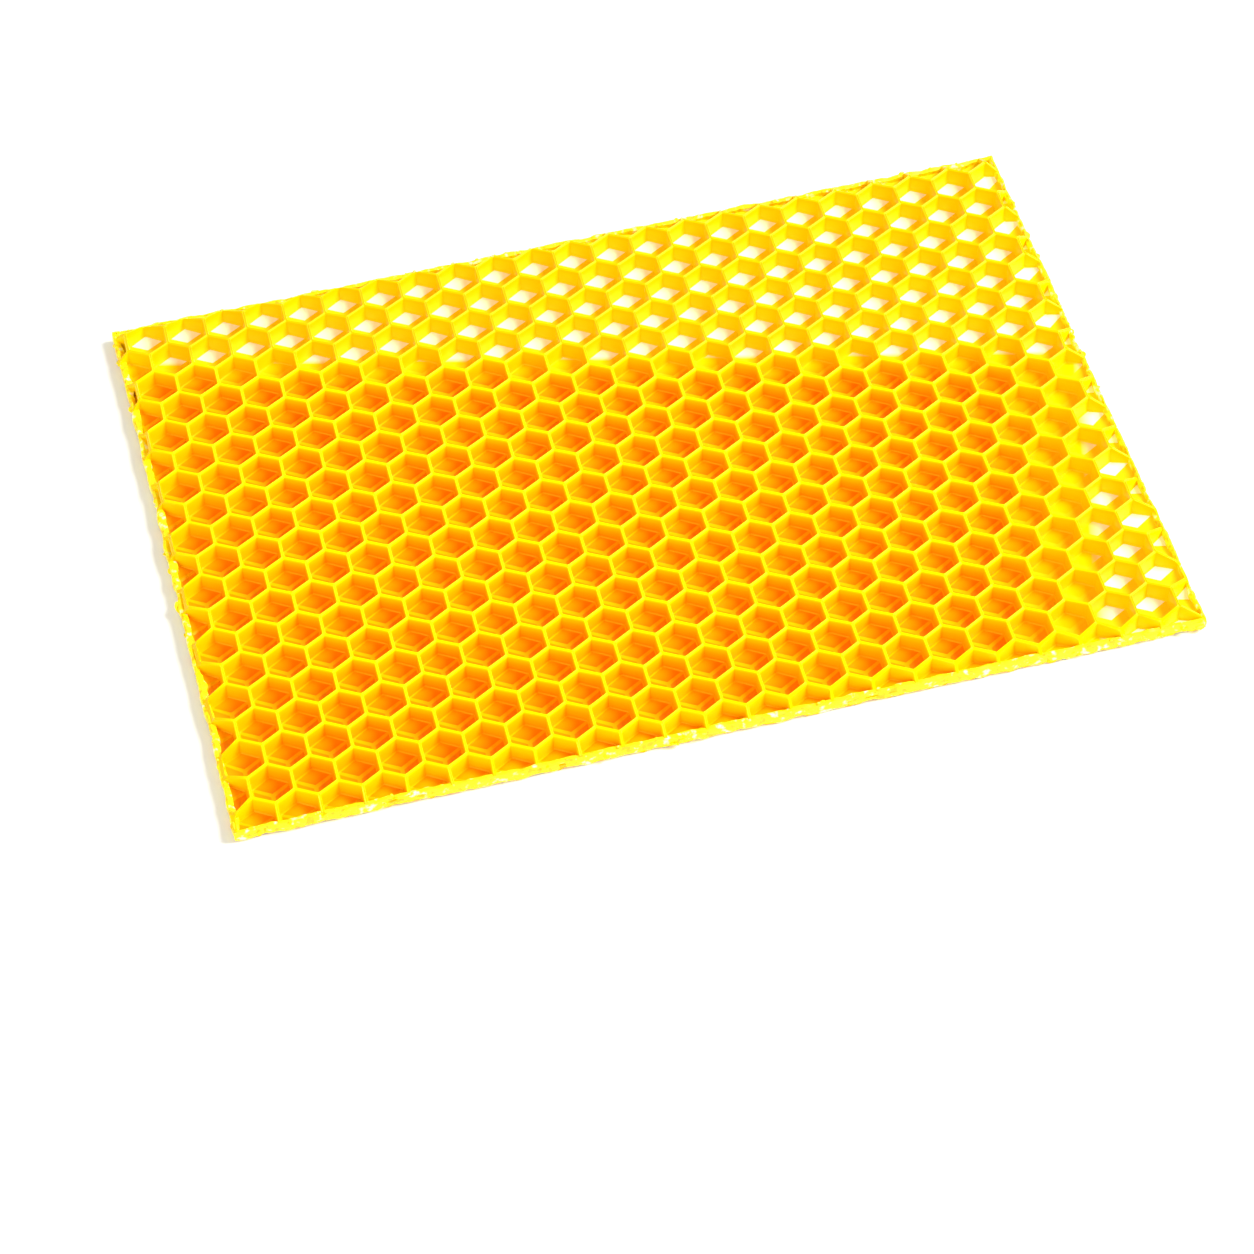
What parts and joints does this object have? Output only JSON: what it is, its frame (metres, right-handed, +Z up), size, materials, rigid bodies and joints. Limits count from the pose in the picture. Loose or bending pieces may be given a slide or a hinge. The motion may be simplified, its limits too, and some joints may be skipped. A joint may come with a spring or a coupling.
{
  "type": "beeswax honeycomb sheet",
  "caption": "Thin rectangular sheet of yellow beeswax comb with deep open six-sided cells above and shallow ones below, offset to share three-facet bases, and knife-cut edges.",
  "frame": {"origin": "middle of the underside, on the surface that the sheet lies on", "axes": "+X along the long cut edge and the rows of cells, +Y across the rows from the front edge to the back edge, +Z up out of the upper cells"},
  "size_m": [0.1224, 0.087, 0.003],
  "materials": {
    "beeswax": "translucent yellow beeswax, pressed between engraved rollers, softly glossy, with paler see-through cell bases"
  },
  "bodies": {
    "root": {"honeycomb_sheet": "beeswax"}
  },
  "joints": []
}
